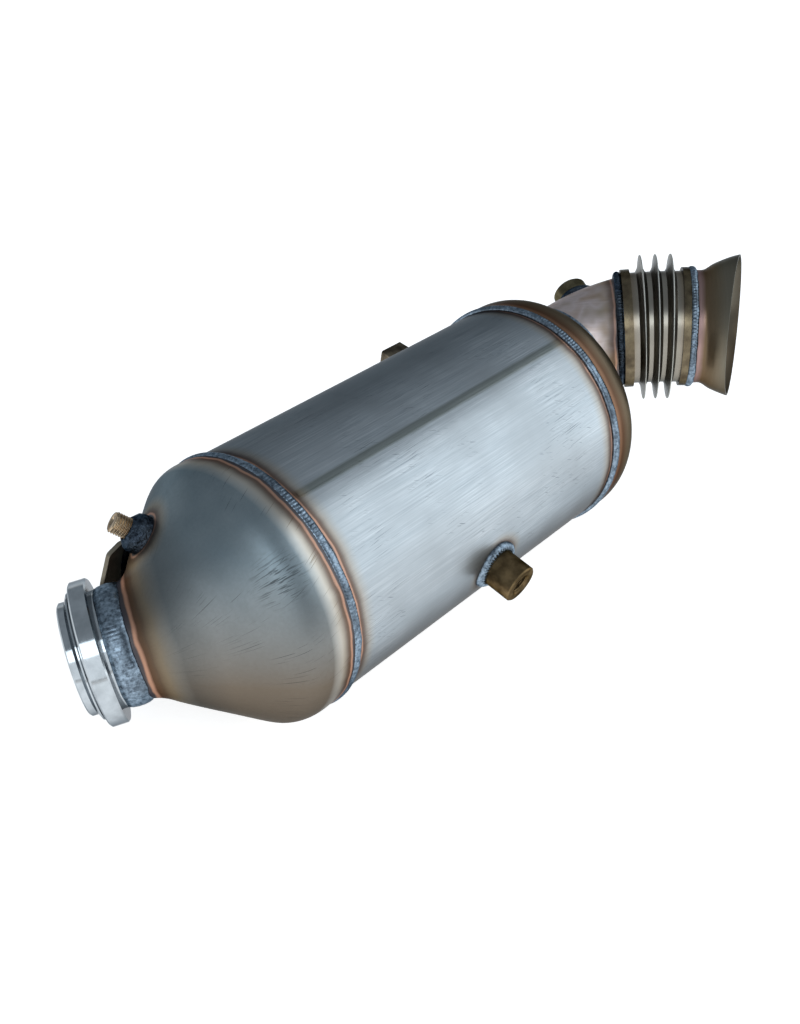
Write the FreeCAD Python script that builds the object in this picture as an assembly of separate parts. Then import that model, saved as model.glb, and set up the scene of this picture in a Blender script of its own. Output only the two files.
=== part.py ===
import FreeCAD, Part
import math
import os

# Welded diesel particulate filter: a round can holding an oxidation catalyst and a
# particulate filter, a lopsided inlet cone with a machined clamp flange, a shallow outlet
# dome, a bent outlet elbow and a three-convolution bellows that ends in a flared socket.
# Millimetres. The origin is the centre of the clamp ring's front face, on the inlet bore.
# +X runs along the can from inlet to outlet, +Z is up, and -Y is the side of the sensor boss.

V = FreeCAD.Vector
X_AXIS = V(1, 0, 0)
Y_AXIS = V(0, 1, 0)
Z_AXIS = V(0, 0, 1)

# Sheet thicknesses and clearances
sheet = 1.5
bellows_sheet = 0.8
bead_crown = 0.8
edge_break = 0.8
bead_half = 3.2
drill_clearance = 0.6
same_place = 0.000001

# Can
can_radius = 77.4
weld_span = 246.4
lap_length = 4.5
seam_angle = 108.3
seam_width = 3.0
seam_height = 0.25

# Ceramic bricks and their mats
mat_thickness = 4.0
catalyst_start = 4.4
catalyst_length = 109.0
brick_gap = 20.0
filter_overrun = 1.0
filter_length = weld_span + filter_overrun - catalyst_start - catalyst_length - brick_gap
mat_setback = 3.0

# Inlet neck and cone
neck_tilt = 32.4
neck_lean = 157.2
neck_reach = 57.2
pivot_setback = 44.0
cone_mouth = 31.5
neck_radius = 32.0
neck_start = 16.6
near_corner = 27.2
near_shoulder = 30.0
far_corner = 12.0
far_shoulder = 20.0
neck_fillet = 8.0
cone_sections = 19

# Clamp flange, measured along the neck from the ring's front face
ring_radius = 40.0
ring_width = 9.6
spigot_length = 8.4
spigot_radius = 31.2
spigot_band = 4.0
taper_radius = 35.0
groove_radius = 32.4
groove_width = 1.6
flange_bore = 29.5
stub_radius = 32.6
taper_step = 1.6
inlet_bead_start = 14.6
inlet_bead_end = 24.6
inlet_bead_crown = 1.4

# Pressure tap on the inlet cone
tap_place = V(-49.3, 38.6, 41.4)
tap_direction = V(-0.62, 0.56, 0.55)
tap_thread = 12.0
tap_shank = 13.0
tap_height = 14.8
tap_bore = 5.0
tap_weld_height = 6.0
tap_weld_radius = 11.0

# Bracket on the far side of the inlet cone
bracket_sheet = 3.0
bracket_y = 52.0
bracket_bead = 3.0
bracket_gap = 1.0
bracket_outline = [(-31.8, 25.7), (-50.5, 25.7), (-58.3, 22.2), (-64.5, 3.6), (-66.5, -24.3),
                   (-31.8, -24.3)]
bracket_corners = {1: 5.0, 2: 4.0, 3: 20.0, 4: 9.0}

# Sensor bosses
boss_radius = 12.15
boss_reach = 20.3
boss_drop = 8.6
boss_tap_drill = 12.5
boss_chamfer = 1.0
boss_bead = 4.0
boss_bead_width = 3.6
elbow_boss_height = 13.0
elbow_boss_share = 0.7
elbow_boss_roll = -76.0

# Mounting block on the far side of the can
block_station = 227.5
block_width = 20.0
block_reach = 26.7
block_tap_drill = 8.5
block_tap_depth = 18.0
block_angle = 4.0
block_chamfer = 1.2
block_bead = 3.0

# Outlet dome
dome_corner = 28.1
dome_shoulder = 17.0
dome_rise = 5.0

# Outlet elbow
elbow_radius = 35.0
elbow_offset = 33.0
elbow_side = -2.6
elbow_start = 31.6
elbow_pitch = 11.4
elbow_end_turn = -43.5
elbow_end_pitch = 20.5
elbow_bend = 73.5
elbow_inside = 9.0
elbow_bead = 3.2

# Bellows and its collars, measured along the bellows axis from the collar's front edge.
# The bend lies within the convolutions; its roll turns the bend plane about the axis.
bellows_turn = -53.15
bellows_pitch = 11.62
bellows_bend = 4.0
bellows_bend_roll = 216.7
bellows_radius = 37.8
crest_radius = 49.3
crest_count = 3
crest_spacing = 9.2
crest_tip_half = 0.75
crest_base_half = 2.9
tip_share = 0.98
flank_draw = 0.7
flank_steps = 5
first_crest = 13.2
collar_radius = 40.3
front_collar_length = 6.0
rear_collar_length = 4.6
bellows_length = 43.5
front_bead = 4.8
rear_bead = 5.0

# Flared outlet socket, measured from the bellows end
flare_length = 31.5
flare_radius = 49.2
flare_neck = 10.0
flare_neck_radius = 38.4
flare_overrun = 11.0
flare_steps = 6
flare_shape = 0.9
rim_turn = -66.7
rim_pitch = 10.6

# Derived sizes
shell_inner = can_radius - sheet
skirt_radius = can_radius + sheet
brick_radius = shell_inner - mat_thickness
gap_middle = catalyst_start + catalyst_length + brick_gap / 2


def unit(vector):
    return vector / vector.Length


def heading(turn, pitch):
    """Unit vector from a turn about +Z and a pitch above level, both in degrees."""
    flat = math.cos(math.radians(pitch))
    return V(flat * math.cos(math.radians(turn)), flat * math.sin(math.radians(turn)),
             math.sin(math.radians(pitch)))


lean = V(0, math.cos(math.radians(neck_lean)), math.sin(math.radians(neck_lean)))
neck_axis = X_AXIS * math.cos(math.radians(neck_tilt)) + lean * math.sin(math.radians(neck_tilt))
can_front = neck_axis * neck_reach + X_AXIS * pivot_setback


def can_point(x, y=0.0, z=0.0):
    """A point given from the centre of the can's front weld."""
    return can_front + V(x, y, z)


tap_foot = can_front + tap_place


def tool(origin, axis, radius, length):
    return Part.makeCylinder(radius, length, origin, axis)


def ring_wire(centre, axis, radius):
    """A circle that always starts at the same side, so that lofts don't twist."""
    side = unit(axis.cross(Z_AXIS))
    circle = Part.makeCircle(radius, V(0, 0, 0), Z_AXIS)
    circle.Placement = FreeCAD.Placement(centre, FreeCAD.Rotation(side, axis.cross(side), axis))
    return Part.Wire(circle)


def solid_of(shape):
    """The single solid in a boolean result, with seams between like faces removed."""
    shape = shape.removeSplitter()
    if len(shape.Solids) != 1:
        raise ValueError("expected one solid, found %d" % len(shape.Solids))
    return shape.Solids[0]


def rounded(points, radii, closed):
    """A wire through flat points, with an arc of the given radius at each corner."""
    count = len(points)
    arrive = []
    leave = []
    arcs = []
    for i, corner in enumerate(points):
        radius = radii.get(i, 0.0)
        if radius <= 0.0 or (not closed and i in (0, count - 1)):
            arrive.append(corner)
            leave.append(corner)
            arcs.append(None)
            continue
        back = unit(points[i - 1] - corner)
        ahead = unit(points[(i + 1) % count] - corner)
        half = back.getAngle(ahead) / 2
        reach = radius / math.tan(half)
        middle = corner + unit(back + ahead) * (radius / math.sin(half) - radius)
        arrive.append(corner + back * reach)
        leave.append(corner + ahead * reach)
        arcs.append(middle)
    edges = []
    last = count if closed else count - 1
    for i in range(count):
        if arcs[i] is not None:
            edges.append(Part.Arc(arrive[i], arcs[i], leave[i]).toShape())
        if i < last:
            nearby = arrive[(i + 1) % count]
            if (nearby - leave[i]).Length > same_place:
                edges.append(Part.LineSegment(leave[i], nearby).toShape())
    return Part.Wire(edges)


def turned(outline, origin, axis, radii=None):
    """A ring turned about an axis from a closed outline of (along, radius) points."""
    side = unit(axis.cross(Z_AXIS))
    points = [origin + axis * along + side * radius for along, radius in outline]
    face = Part.Face(rounded(points, radii or {}, True))
    return face.revolve(origin, axis, 360)


def shifted(points, distance):
    """Flat (x, s) points moved sideways by a distance, with the corners kept sharp."""
    normals = []
    for a, b in zip(points[:-1], points[1:]):
        run = math.hypot(b[0] - a[0], b[1] - a[1])
        normals.append((-(b[1] - a[1]) / run, (b[0] - a[0]) / run))
    moved = []
    for i, point in enumerate(points):
        first = normals[max(i - 1, 0)]
        second = normals[min(i, len(normals) - 1)]
        scale = distance / (1 + first[0] * second[0] + first[1] * second[1])
        moved.append((point[0] + scale * (first[0] + second[0]),
                      point[1] + scale * (first[1] + second[1])))
    return moved


def cone_body(inset):
    """The inlet cone's body, drawn in by the inset: circles span its long and short sides."""
    tilt = math.radians(neck_tilt)
    mouth = (-pivot_setback - cone_mouth * math.cos(tilt), -cone_mouth * math.sin(tilt))
    across = (-math.sin(tilt), math.cos(tilt))
    tail_length = 2 * neck_fillet

    def to_space(point):
        return can_point(point[0]) + lean * point[1]

    def side(sign, corner, shoulder):
        edge = (mouth[0] + sign * neck_radius * across[0], mouth[1] + sign * neck_radius * across[1])
        tail = (edge[0] - tail_length * math.cos(tilt), edge[1] - tail_length * math.sin(tilt))
        path = [(0.0, sign * skirt_radius), (-corner, sign * skirt_radius), edge, tail]
        drawn_in = [to_space(point) for point in shifted(path, sign * inset)]
        return rounded(drawn_in, {1: shoulder - inset, 2: neck_fillet + inset}, False)

    near = side(1, near_corner, near_shoulder)
    far = side(-1, far_corner, far_shoulder)
    first_x = -lap_length
    neck_end = neck_reach - cone_mouth - neck_fillet
    past_pivot = -pivot_setback * math.cos(tilt) - cone_mouth - neck_fillet
    hinge = to_space((first_x, (past_pivot - first_x * math.cos(tilt)) / math.sin(tilt)))
    rings = []
    for k in range(cone_sections):
        angle = tilt * k / (cone_sections - 1)
        ray = X_AXIS * -math.sin(angle) + lean * math.cos(angle)
        probe = Part.LineSegment(hinge, hinge + ray * 4 * skirt_radius).toShape()
        upper = probe.distToShape(near)[1][0][0]
        lower = probe.distToShape(far)[1][0][0]
        normal = X_AXIS * math.cos(angle) + lean * math.sin(angle)
        rings.append(ring_wire((upper + lower) / 2, normal, (upper - lower).Length / 2))
    body = Part.makeLoft(rings, True, False)
    skirt = tool(can_point(first_x), X_AXIS, skirt_radius - inset, lap_length + max(inset, 0.0))
    neck = tool(neck_axis * neck_start, neck_axis, neck_radius - inset, neck_end - neck_start)
    return body.fuse([skirt, neck])


def dome_body(inset):
    """The outlet dome's body, drawn in by the inset."""
    radius = skirt_radius - inset
    shoulder_x = dome_corner - inset
    outline = [(-inset, 0.0), (-inset, radius), (shoulder_x, radius),
               (shoulder_x + dome_rise, 0.0)]
    return turned(outline, can_point(weld_span), X_AXIS, {2: dome_shoulder - inset})


elbow_root = can_point(weld_span + elbow_start, elbow_side, elbow_offset)
elbow_in = heading(0.0, elbow_pitch)
elbow_out = heading(elbow_end_turn, elbow_end_pitch)
elbow_hinge = unit(elbow_in.cross(elbow_out))
elbow_centre = elbow_root + elbow_hinge.cross(elbow_in) * elbow_bend
elbow_sweep = math.degrees(elbow_in.getAngle(elbow_out))


def elbow_at(share):
    """A point on the elbow's centre line and its direction there, from root 0 to end 1."""
    turn = FreeCAD.Rotation(elbow_hinge, elbow_sweep * share)
    return elbow_centre + turn.multVec(elbow_root - elbow_centre), turn.multVec(elbow_in)


elbow_end = elbow_at(1.0)[0]
bellows_out = heading(bellows_turn, bellows_pitch)
level_side = unit(bellows_out.cross(Z_AXIS))
bellows_hinge = FreeCAD.Rotation(bellows_out, -bellows_bend_roll).multVec(level_side)
bend_start = first_crest - crest_spacing / 2
bend_span = crest_count * crest_spacing


def bellows_at(along):
    """A point and direction on the bellows' axis: straight cuffs with a bend between."""
    share = min(max((along - bend_start) / bend_span, 0.0), 1.0)
    half = FreeCAD.Rotation(bellows_hinge, bellows_bend * share / 2)
    out = FreeCAD.Rotation(bellows_hinge, bellows_bend * share).multVec(bellows_out)
    lead = min(along, bend_start)
    tail = max(along - bend_start - bend_span, 0.0)
    bent = half.multVec(bellows_out) * (bend_span * share)
    return elbow_end + bellows_out * lead + bent + out * tail, out


def elbow_body(radius):
    """A bent bar on the elbow's route, cut square to the bellows where it meets it."""
    start = elbow_root - elbow_in * elbow_inside
    end, out = elbow_at(1.0)
    route = Part.Wire([Part.LineSegment(start, elbow_root).toShape(),
                       Part.Arc(elbow_root, elbow_at(0.5)[0], end).toShape(),
                       Part.LineSegment(end, end + out * radius).toShape()])
    bar = route.makePipeShell([ring_wire(start, elbow_in, radius)], True, False)
    return bar.cut(tool(end, bellows_out, 3 * radius, 3 * radius))


def circle_stack(stations):
    """A ruled solid through circles given as (along, radius) on the bellows' axis."""
    rings = []
    for along, radius in stations:
        centre, out = bellows_at(along)
        rings.append(ring_wire(centre, out, radius))
    return Part.makeLoft(rings, True, True)


def bellows_body(inset):
    """The corrugated tube's body, drawn in by the inset: cuff, convolutions, cuff."""
    base = bellows_radius - inset
    rise = crest_radius - bellows_radius
    stations = [(0.0, base), (front_collar_length, base)]
    for k in range(crest_count):
        middle = first_crest + k * crest_spacing
        flank = []
        for step in range(flank_steps):
            height = step / (flank_steps - 1)
            half = crest_tip_half + (crest_base_half - crest_tip_half) * (1 - height) ** 2
            flank.append((half - inset * flank_draw, base + rise * height * tip_share))
        stations += [(middle - half, radius) for half, radius in flank]
        stations.append((middle, base + rise))
        stations += [(middle + half, radius) for half, radius in reversed(flank)]
    stations += [(bellows_length - rear_collar_length, base), (bellows_length, base)]
    return circle_stack(stations)


def make_collar(start, length):
    """A short reinforcing sleeve on one of the bellows' straight cuffs."""
    origin, axis = bellows_at(start)
    outline = [(0.0, bellows_radius), (0.0, collar_radius), (length, collar_radius),
               (length, bellows_radius)]
    return solid_of(turned(outline, origin, axis))


def flare_body(inset):
    """The flared socket's body, drawn in by the inset and longer than its oblique rim."""
    origin, axis = bellows_at(bellows_length)
    side = unit(axis.cross(Z_AXIS))
    neck = flare_neck_radius - inset
    overrun = flare_length + flare_overrun
    growth = flare_radius - flare_neck_radius
    stations = [(0.0, 0.0), (flare_neck / 2, 0.0), (flare_neck, 0.0)]
    for k in range(1, flare_steps + 1):
        share = k / flare_steps
        stations.append((flare_neck + share * (overrun - flare_neck),
                         growth * math.sin(share * math.pi / 2) ** flare_shape))
    spline = Part.BSplineCurve()
    spline.interpolate([origin + axis * along + side * (neck + rise) for along, rise in stations])
    far = origin + axis * overrun
    rim = spline.value(spline.LastParameter)
    edges = [spline.toShape(), Part.LineSegment(rim, far).toShape(),
             Part.LineSegment(far, origin).toShape(),
             Part.LineSegment(origin, origin + side * neck).toShape()]
    return Part.Face(Part.Wire(edges)).revolve(origin, axis, 360)


cone_outer = cone_body(0.0)
cone_inner = cone_body(sheet)
dome_outer = dome_body(0.0)
dome_inner = dome_body(sheet)
elbow_outer = elbow_body(elbow_radius)
can_bar = tool(can_point(-lap_length), X_AXIS, can_radius, weld_span + 2 * lap_length)


def make_inlet_flange():
    taper_start = -spigot_length + spigot_band
    outline = [(-spigot_length, flange_bore), (-spigot_length, spigot_radius - edge_break),
               (edge_break - spigot_length, spigot_radius), (taper_start, spigot_radius),
               (taper_start + edge_break, spigot_radius + taper_step),
               (-groove_width - edge_break, taper_radius), (-groove_width, taper_radius),
               (-groove_width, groove_radius), (0.0, groove_radius),
               (0.0, ring_radius - edge_break), (edge_break, ring_radius),
               (ring_width - edge_break, ring_radius), (ring_width, ring_radius - edge_break),
               (ring_width, stub_radius), (neck_start, stub_radius),
               (neck_start, flange_bore)]
    return solid_of(turned(outline, V(0, 0, 0), neck_axis))


def make_inlet_flange_weld(flange):
    crown = neck_radius + inlet_bead_crown
    root = flange_bore + sheet
    start = inlet_bead_start
    run = inlet_bead_end - start
    outline = [(start, root), (start, stub_radius), (start + run * 0.25, crown),
               (start + run * 0.5, crown + bead_crown / 2), (start + run * 0.75, crown),
               (inlet_bead_end, neck_radius - edge_break / 4), (inlet_bead_end, root)]
    ring = turned(outline, V(0, 0, 0), neck_axis)
    return solid_of(ring.cut([flange, cone_outer]))


def make_inlet_cone():
    axis = unit(tap_direction)
    tap_way = tool(tap_foot - axis * 4 * sheet, axis, tap_bore / 2, 8 * sheet)
    return solid_of(cone_outer.cut([cone_inner, tap_way]))


def make_pressure_tap():
    axis = unit(tap_direction)
    outline = [(-tap_weld_height, tap_bore / 2), (-tap_weld_height, tap_shank / 2),
               (tap_weld_height, tap_shank / 2), (tap_weld_height, tap_thread / 2),
               (tap_height - edge_break, tap_thread / 2),
               (tap_height, tap_thread / 2 - edge_break), (tap_height, tap_bore / 2)]
    stem = turned(outline, tap_foot, axis)
    return solid_of(stem.cut(cone_outer))


def make_pressure_tap_weld():
    axis = unit(tap_direction)
    outline = [(-tap_weld_height, 0.0), (-tap_weld_height, tap_weld_radius),
               (edge_break, tap_weld_radius), (tap_weld_height / 2, tap_weld_radius - bead_crown),
               (tap_weld_height, tap_thread / 2 + bead_crown), (tap_weld_height, 0.0)]
    heap = turned(outline, tap_foot, axis)
    stem = tool(tap_foot - axis * 2 * tap_weld_height, axis, tap_shank / 2, 2 * tap_height)
    return solid_of(heap.cut([cone_outer, stem]))


def plate(points, radii, y_start, thickness):
    """A flat plate across Y from (x, z) points given from the can's front weld."""
    corners = [can_point(x, y_start, z) for x, z in points]
    return Part.Face(rounded(corners, radii, True)).extrude(Y_AXIS * thickness)


def neck_relief():
    """The room that the bracket leaves around the flange's ring and its bead."""
    bead = tool(V(0, 0, 0), neck_axis, neck_radius + inlet_bead_crown + bead_crown + bracket_gap,
                inlet_bead_end + bracket_gap)
    return bead.fuse(tool(V(0, 0, 0), neck_axis, ring_radius + bracket_gap,
                          ring_width + bracket_gap))


def make_inlet_bracket():
    blank = plate(bracket_outline, bracket_corners, bracket_y, bracket_sheet)
    return solid_of(blank.cut([cone_outer, neck_relief()]))


def make_inlet_bracket_weld():
    """A fillet bead on the bracket's near face: the longest run clear of the neck."""
    low = bracket_outline[-1][1]
    high = bracket_outline[0][1]
    slab = plate([(0.0, low), (0.0, high), (-pivot_setback * 2, high), (-pivot_setback * 2, low)],
                 {}, bracket_y - bracket_bead, bracket_bead)
    foot = slab.common(cone_body(-bracket_bead)).cut([cone_outer, neck_relief()])
    runs = sorted(foot.Solids, key=lambda run: run.Volume)
    return solid_of(runs[-1])


def make_girth_weld(edge_x, sign):
    """The bead over a lap edge; the sign is +1 where the can lies towards +X."""
    crown = skirt_radius + bead_crown
    outline = [(-bead_half, shell_inner), (-bead_half, skirt_radius),
               (-bead_half / 2, crown), (bead_half / 4, crown - bead_crown / 2),
               (bead_half * 3 / 4, can_radius + bead_crown / 2), (bead_half, can_radius),
               (bead_half, shell_inner)]
    if sign > 0:
        joined = [cone_outer, can_bar]
    else:
        joined = [dome_outer, can_bar]
    ring = turned(outline, can_point(edge_x), X_AXIS * sign)
    return solid_of(ring.cut(joined))


def seam_bar(width):
    middle = seam_angle
    radial = V(0, math.cos(math.radians(middle)), math.sin(math.radians(middle)))
    across = X_AXIS.cross(radial)
    corner = can_point(-2 * lap_length) - across * width / 2
    face = Part.makePolygon([corner, corner + across * width,
                             corner + across * width + radial * 2 * can_radius,
                             corner + radial * 2 * can_radius, corner])
    return Part.Face(face).extrude(X_AXIS * (weld_span + 4 * lap_length))


def shell_tube():
    return can_bar.cut(tool(can_point(-lap_length), X_AXIS, shell_inner,
                            weld_span + 2 * lap_length))


def can_boss_frame():
    """The foot of the can's sensor boss, over the gap between the bricks, and its way out."""
    out = FreeCAD.Rotation(X_AXIS, boss_drop).multVec(-Y_AXIS)
    return can_point(gap_middle) + out * can_radius, out


def make_can_shell():
    foot, out = can_boss_frame()
    boss_way = tool(foot - out * can_radius, out, boss_tap_drill / 2 + drill_clearance,
                    2 * can_radius)
    return solid_of(shell_tube().cut([seam_bar(seam_width), boss_way]))


def make_can_seam_weld():
    strip = shell_tube().common(seam_bar(seam_width))
    proud_start = can_point(2 * bead_half)
    proud_length = weld_span - 4 * bead_half
    proud = tool(proud_start, X_AXIS, can_radius + seam_height, proud_length)
    cap = proud.cut(tool(proud_start, X_AXIS, can_radius, proud_length))
    return solid_of(strip.fuse(cap.common(seam_bar(seam_width))))


def make_boss(foot, axis, inside, height, seat):
    """A round threaded boss on a curved seat, with its tapping bore right through."""
    outline = [(-inside, boss_tap_drill / 2), (-inside, boss_radius),
               (height - edge_break, boss_radius), (height, boss_radius - edge_break),
               (height, boss_tap_drill / 2 + boss_chamfer),
               (height - boss_chamfer, boss_tap_drill / 2)]
    return solid_of(turned(outline, foot, axis).cut(seat))


def make_boss_weld(foot, axis, inside, seats):
    """The fillet bead round a boss, with its heel on the seats it runs over."""
    toe = boss_radius + boss_bead_width
    outline = [(-inside, 0.0), (-inside, toe), (edge_break / 2, toe),
               (boss_bead / 2, toe - bead_crown), (boss_bead, boss_radius + edge_break),
               (boss_bead, 0.0)]
    heap = turned(outline, foot, axis)
    core = tool(foot - axis * 2 * inside, axis, boss_radius, 2 * inside + 2 * boss_bead)
    return solid_of(heap.cut(seats + [core]))


def block_prism(grow, start, end):
    """A square bar with rounded corners along the mounting block's axis."""
    angle = math.radians(block_angle)
    out = V(0, math.cos(angle), math.sin(angle))
    up = X_AXIS.cross(out)
    middle = can_point(block_station) + out * (can_radius + start)
    half = block_width / 2 + grow
    corners = [middle + X_AXIS * x * half + up * y * half
               for x, y in ((-1, -1), (1, -1), (1, 1), (-1, 1))]
    radii = {k: block_chamfer + grow for k in range(4)}
    return Part.Face(rounded(corners, radii, True)).extrude(out * (end - start)), middle, out


def make_mount_block():
    sagitta = block_width / 4
    bar, foot, out = block_prism(0.0, -sagitta, block_reach)
    tip = foot + out * (sagitta + block_reach)
    hole = tool(tip, -out, block_tap_drill / 2, block_tap_depth)
    return solid_of(bar.cut([can_bar, hole]))


def make_mount_block_weld():
    bead = block_prism(block_bead, -block_width / 4, block_bead)[0]
    core = block_prism(0.0, -block_width / 2, 2 * block_bead)[0]
    return solid_of(bead.cut([can_bar, core]))


def make_brick(start, length):
    return tool(can_point(start), X_AXIS, brick_radius, length)


def make_mat(start, length):
    run = length - 2 * mat_setback
    origin = can_point(start + mat_setback)
    return solid_of(tool(origin, X_AXIS, shell_inner, run).cut(tool(origin, X_AXIS,
                                                                    brick_radius, run)))


def make_outlet_dome():
    return solid_of(dome_outer.cut([dome_inner, elbow_outer]))


def make_elbow_root_weld():
    band = elbow_body(elbow_radius + elbow_bead).common(dome_body(-elbow_bead))
    return solid_of(band.cut([dome_outer, elbow_outer]))


def elbow_boss_frame():
    middle, along = elbow_at(elbow_boss_share)
    upright = unit(Z_AXIS - along * Z_AXIS.dot(along))
    out = FreeCAD.Rotation(along, elbow_boss_roll).multVec(upright)
    return middle + out * elbow_radius, out


def make_outlet_elbow():
    foot, out = elbow_boss_frame()
    boss_way = tool(foot - out * elbow_radius, out, boss_tap_drill / 2 + drill_clearance,
                    2 * elbow_radius)
    return solid_of(elbow_outer.cut([elbow_body(elbow_radius - sheet), boss_way]))


def make_bellows_front_weld():
    origin, axis = bellows_at(0.0)
    outline = [(-front_bead, bellows_radius - 3 * sheet), (-front_bead, elbow_radius),
               (-front_bead / 2, (elbow_radius + collar_radius) / 2 + bead_crown),
               (-edge_break, collar_radius), (0.0, collar_radius),
               (0.0, bellows_radius - 3 * sheet)]
    return solid_of(turned(outline, origin, axis).cut(elbow_outer))


def make_bellows_rear_weld():
    origin, axis = bellows_at(bellows_length)
    inner = flare_neck_radius - sheet
    outline = [(0.0, inner), (0.0, collar_radius), (edge_break, collar_radius + bead_crown),
               (rear_bead / 2, collar_radius), (rear_bead, flare_neck_radius + edge_break / 4),
               (rear_bead, inner)]
    return solid_of(turned(outline, origin, axis).cut(flare_body(0.0)))


def make_outlet_flare():
    cut_point = bellows_at(bellows_length)[0] + bellows_at(bellows_length)[1] * flare_length
    rim = tool(cut_point, heading(rim_turn, rim_pitch), 2 * flare_radius, 2 * flare_radius)
    return solid_of(flare_body(0.0).cut([flare_body(sheet), rim]))


def build():
    filter_start = catalyst_start + catalyst_length + brick_gap
    can_boss_foot, can_boss_out = can_boss_frame()
    elbow_foot, elbow_boss_out = elbow_boss_frame()
    parts = {}
    parts["inlet_flange"] = make_inlet_flange()
    parts["inlet_flange_weld"] = make_inlet_flange_weld(parts["inlet_flange"])
    parts["inlet_cone"] = make_inlet_cone()
    parts["inlet_bracket"] = make_inlet_bracket()
    parts["pressure_tap"] = make_pressure_tap()
    parts["pressure_tap_weld"] = make_pressure_tap_weld()
    parts["inlet_bracket_weld"] = make_inlet_bracket_weld()
    parts["front_girth_weld"] = make_girth_weld(0.0, 1)
    parts["can_shell"] = make_can_shell()
    parts["can_seam_weld"] = make_can_seam_weld()
    parts["can_sensor_boss"] = make_boss(can_boss_foot, can_boss_out, boss_bead, boss_reach, can_bar)
    parts["can_sensor_boss_weld"] = make_boss_weld(can_boss_foot, can_boss_out, boss_bead, [can_bar])
    parts["mount_block"] = make_mount_block()
    parts["mount_block_weld"] = make_mount_block_weld()
    parts["catalyst_brick"] = make_brick(catalyst_start, catalyst_length)
    parts["catalyst_mat"] = make_mat(catalyst_start, catalyst_length)
    parts["filter_brick"] = make_brick(filter_start, filter_length)
    parts["filter_mat"] = make_mat(filter_start, filter_length)
    parts["rear_girth_weld"] = make_girth_weld(weld_span, -1)
    parts["outlet_dome"] = make_outlet_dome()
    parts["elbow_root_weld"] = make_elbow_root_weld()
    parts["outlet_elbow"] = make_outlet_elbow()
    parts["bellows_front_weld"] = make_bellows_front_weld()
    parts["elbow_sensor_boss"] = make_boss(elbow_foot, elbow_boss_out, 2 * boss_bead,
                                           elbow_boss_height, elbow_outer)
    elbow_seats = [elbow_outer, parts["bellows_front_weld"]]
    parts["elbow_sensor_boss_weld"] = make_boss_weld(elbow_foot, elbow_boss_out, 2 * boss_bead,
                                                     elbow_seats)
    parts["bellows_front_collar"] = make_collar(0.0, front_collar_length)
    parts["bellows"] = solid_of(bellows_body(0.0).cut(bellows_body(bellows_sheet)))
    parts["bellows_rear_collar"] = make_collar(bellows_length - rear_collar_length,
                                               rear_collar_length)
    parts["outlet_flare"] = make_outlet_flare()
    parts["bellows_rear_weld"] = make_bellows_rear_weld()
    return parts


os.makedirs("parts", exist_ok=True)
for name, shape in build().items():
    shape.exportStep("parts/" + name + ".step")
    box = shape.BoundBox
    print("%-24s volume %9.0f mm3, x %7.1f to %6.1f" % (name, shape.Volume, box.XMin, box.XMax))
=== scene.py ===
# %% [markdown]
# # A welded exhaust filter, lit as a studio subject
# The object is a diesel particulate filter: a round steel can with a lopsided inlet cone, a
# machined clamp flange, an outlet elbow, a bellows and a flared socket. The solid shapes come
# from CAD. This file gives them their steel, heat colours, rippled weld beads and threads,
# then sets up a pale floor, soft lamps and the camera.

# %% Load the frame
import math
import bpy
from mathutils import Matrix, Vector, noise


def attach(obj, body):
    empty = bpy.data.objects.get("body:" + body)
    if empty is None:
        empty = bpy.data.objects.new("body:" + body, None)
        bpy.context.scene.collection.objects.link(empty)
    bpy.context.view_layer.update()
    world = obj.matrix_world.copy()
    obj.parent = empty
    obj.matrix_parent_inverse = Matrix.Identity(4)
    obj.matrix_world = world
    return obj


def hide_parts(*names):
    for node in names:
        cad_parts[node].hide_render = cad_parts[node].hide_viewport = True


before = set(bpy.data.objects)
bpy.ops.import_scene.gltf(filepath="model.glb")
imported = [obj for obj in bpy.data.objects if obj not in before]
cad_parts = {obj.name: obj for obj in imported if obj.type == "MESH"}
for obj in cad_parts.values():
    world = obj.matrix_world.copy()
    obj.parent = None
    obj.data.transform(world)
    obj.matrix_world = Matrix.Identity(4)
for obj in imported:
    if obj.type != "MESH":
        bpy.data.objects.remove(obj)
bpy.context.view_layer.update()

# %% [markdown]
# ## Places that everything else hangs on
# Welds, tints and threads are all placed from a few points and axes of the CAD model. They are
# written here once, in millimetres, and turned to metres where a mesh is made. Typing the
# numbers again in each piece would work too, but one table keeps the pieces in step.

# %% Places and axes
MM = 0.001
UP = Vector((0, 0, 1))
NECK_START = Vector((0, 0, 0))
NECK_AXIS = Vector((0.844328, -0.493959, 0.207641)).normalized()
NECK_BORE = 29.5
CAN_FRONT = Vector((92.296, -28.254, 11.877))
CAN_AXIS = Vector((1, 0, 0))
CAN_SIDE = Vector((0, 1, 0))
CAN_RADIUS = 77.4
SKIRT_RADIUS = 78.9
WELD_SPAN = 246.4
SEAM_ANGLE = 108.3
BOSS_DROP = math.radians(8.6)
BOSS_AXIS = Vector((0, -math.cos(BOSS_DROP), -math.sin(BOSS_DROP)))
BOSS_ALONG = 123.4
BOSS_FOOT = CAN_FRONT + CAN_AXIS * BOSS_ALONG + BOSS_AXIS * CAN_RADIUS
BOSS_RADIUS = 12.15
BOSS_REACH = 20.3
TAP_FOOT = CAN_FRONT + Vector((-49.3, 38.6, 41.4))
TAP_AXIS = Vector((-0.62, 0.56, 0.55)).normalized()
FLOOR_GAP = 0.8
FLOOR_Z = CAN_FRONT.z - SKIRT_RADIUS - FLOOR_GAP
print("can axis height above the floor: %.1f mm" % (CAN_FRONT.z - FLOOR_Z))

# %% [markdown]
# Four small helpers turn angles into directions. Two of them give a pair of directions square
# to an axis and a spoke at an angle between the two, which is all that a ring needs.

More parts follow.
